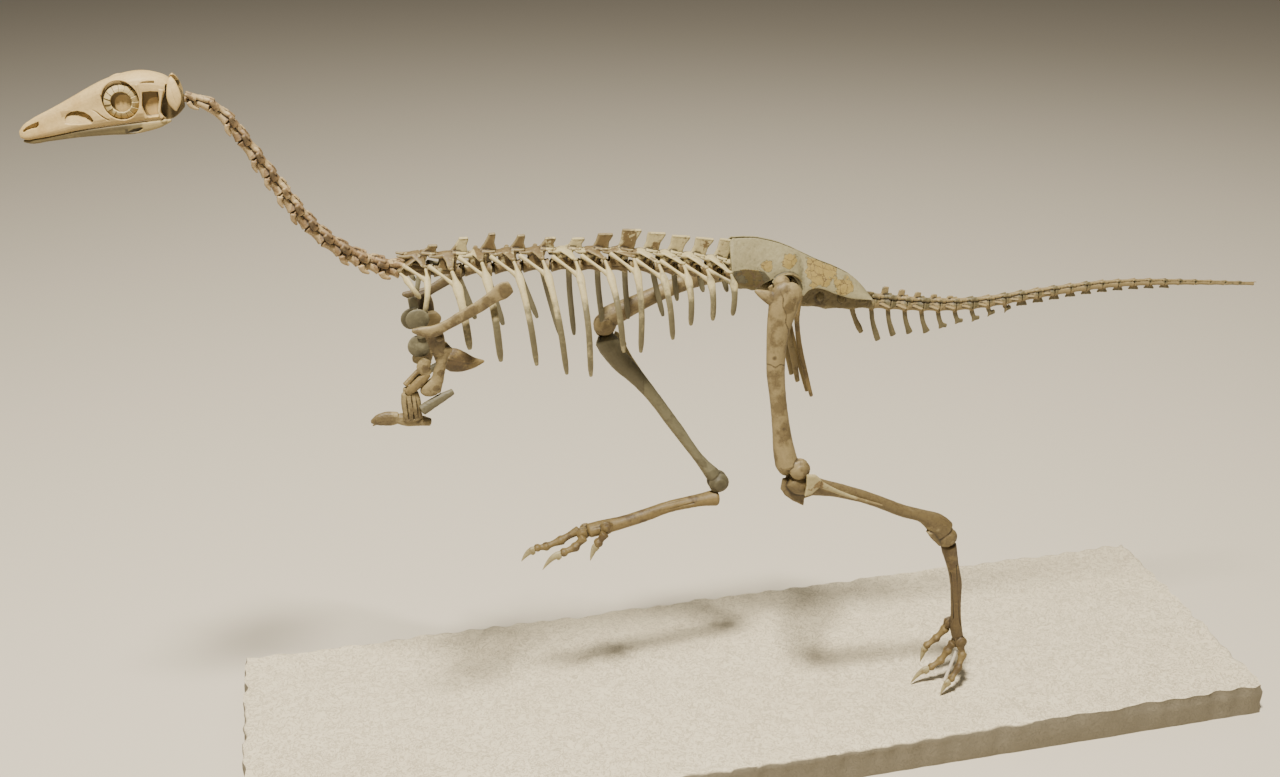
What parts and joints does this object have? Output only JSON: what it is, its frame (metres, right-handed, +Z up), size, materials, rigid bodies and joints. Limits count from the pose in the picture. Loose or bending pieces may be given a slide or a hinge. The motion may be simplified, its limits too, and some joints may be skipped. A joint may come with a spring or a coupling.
{
  "type": "mounted dinosaur skeleton",
  "caption": "Life-size mounted skeleton of a small one-clawed running dinosaur, balanced on one tiptoe with the other leg swung forward, on a rough plaster slab.",
  "frame": {"origin": "centre of the bounding box's underside, on the plane the slab stands on", "axes": "+X from the head to the tail, +Y from the animal's left side to its right, +Z up"},
  "size_m": [0.9403, 0.2497, 0.5677],
  "materials": {
    "restored_bone": "cast resin, painted cream and left matt",
    "cast_bone": "cast resin, stained tan, matt",
    "dark_cast_bone": "cast resin, stained brown, matt",
    "claw_bone": "cast resin, pale tan, satin",
    "rough_plaster": "trowelled plaster, rough and matt",
    "painted_pin": "painted steel, satin"
  },
  "bodies": {
    "root": {"stand_slab": "rough_plaster", "stand_pin": "painted_pin", "skull": "restored_bone", "mandible": "restored_bone", "neck_upper": "cast_bone", "neck_lower": "cast_bone", "sacrum": "dark_cast_bone", "tail_front": "cast_bone", "tail_middle": "cast_bone", "tail_tip": "cast_bone", "sternum": "dark_cast_bone", "eye_ring_left": "restored_bone", "eye_ring_right": "restored_bone", "ribcage_left": "restored_bone", "ribcage_right": "restored_bone", "ilium_left": "restored_bone", "ilium_right": "restored_bone", "pubis_left": "cast_bone", "pubis_right": "cast_bone", "ischium_left": "dark_cast_bone", "ischium_right": "dark_cast_bone", "scapula_left": "cast_bone", "scapula_right": "cast_bone", "coracoid_left": "restored_bone", "coracoid_right": "restored_bone", "humerus_left": "cast_bone", "humerus_right": "cast_bone", "ulna_left": "restored_bone", "ulna_right": "restored_bone", "radius_left": "restored_bone", "radius_right": "restored_bone", "hand_left": "cast_bone", "hand_right": "cast_bone", "thumb_left": "cast_bone", "thumb_right": "cast_bone", "thumb_claw_left": "cast_bone", "thumb_claw_right": "cast_bone", "femur_left": "cast_bone", "femur_right": "cast_bone", "tibiotarsus_left": "cast_bone", "tibiotarsus_right": "cast_bone", "fibula_left": "restored_bone", "fibula_right": "restored_bone", "metatarsus_left": "cast_bone", "metatarsus_right": "cast_bone", "toe_2_left": "cast_bone", "toe_2_right": "cast_bone", "toe_3_left": "cast_bone", "toe_3_right": "cast_bone", "toe_4_left": "cast_bone", "toe_4_right": "cast_bone", "toe_claw_2_left": "claw_bone", "toe_claw_2_right": "claw_bone", "toe_claw_3_left": "claw_bone", "toe_claw_3_right": "claw_bone", "toe_claw_4_left": "claw_bone", "toe_claw_4_right": "claw_bone"}
  },
  "joints": []
}
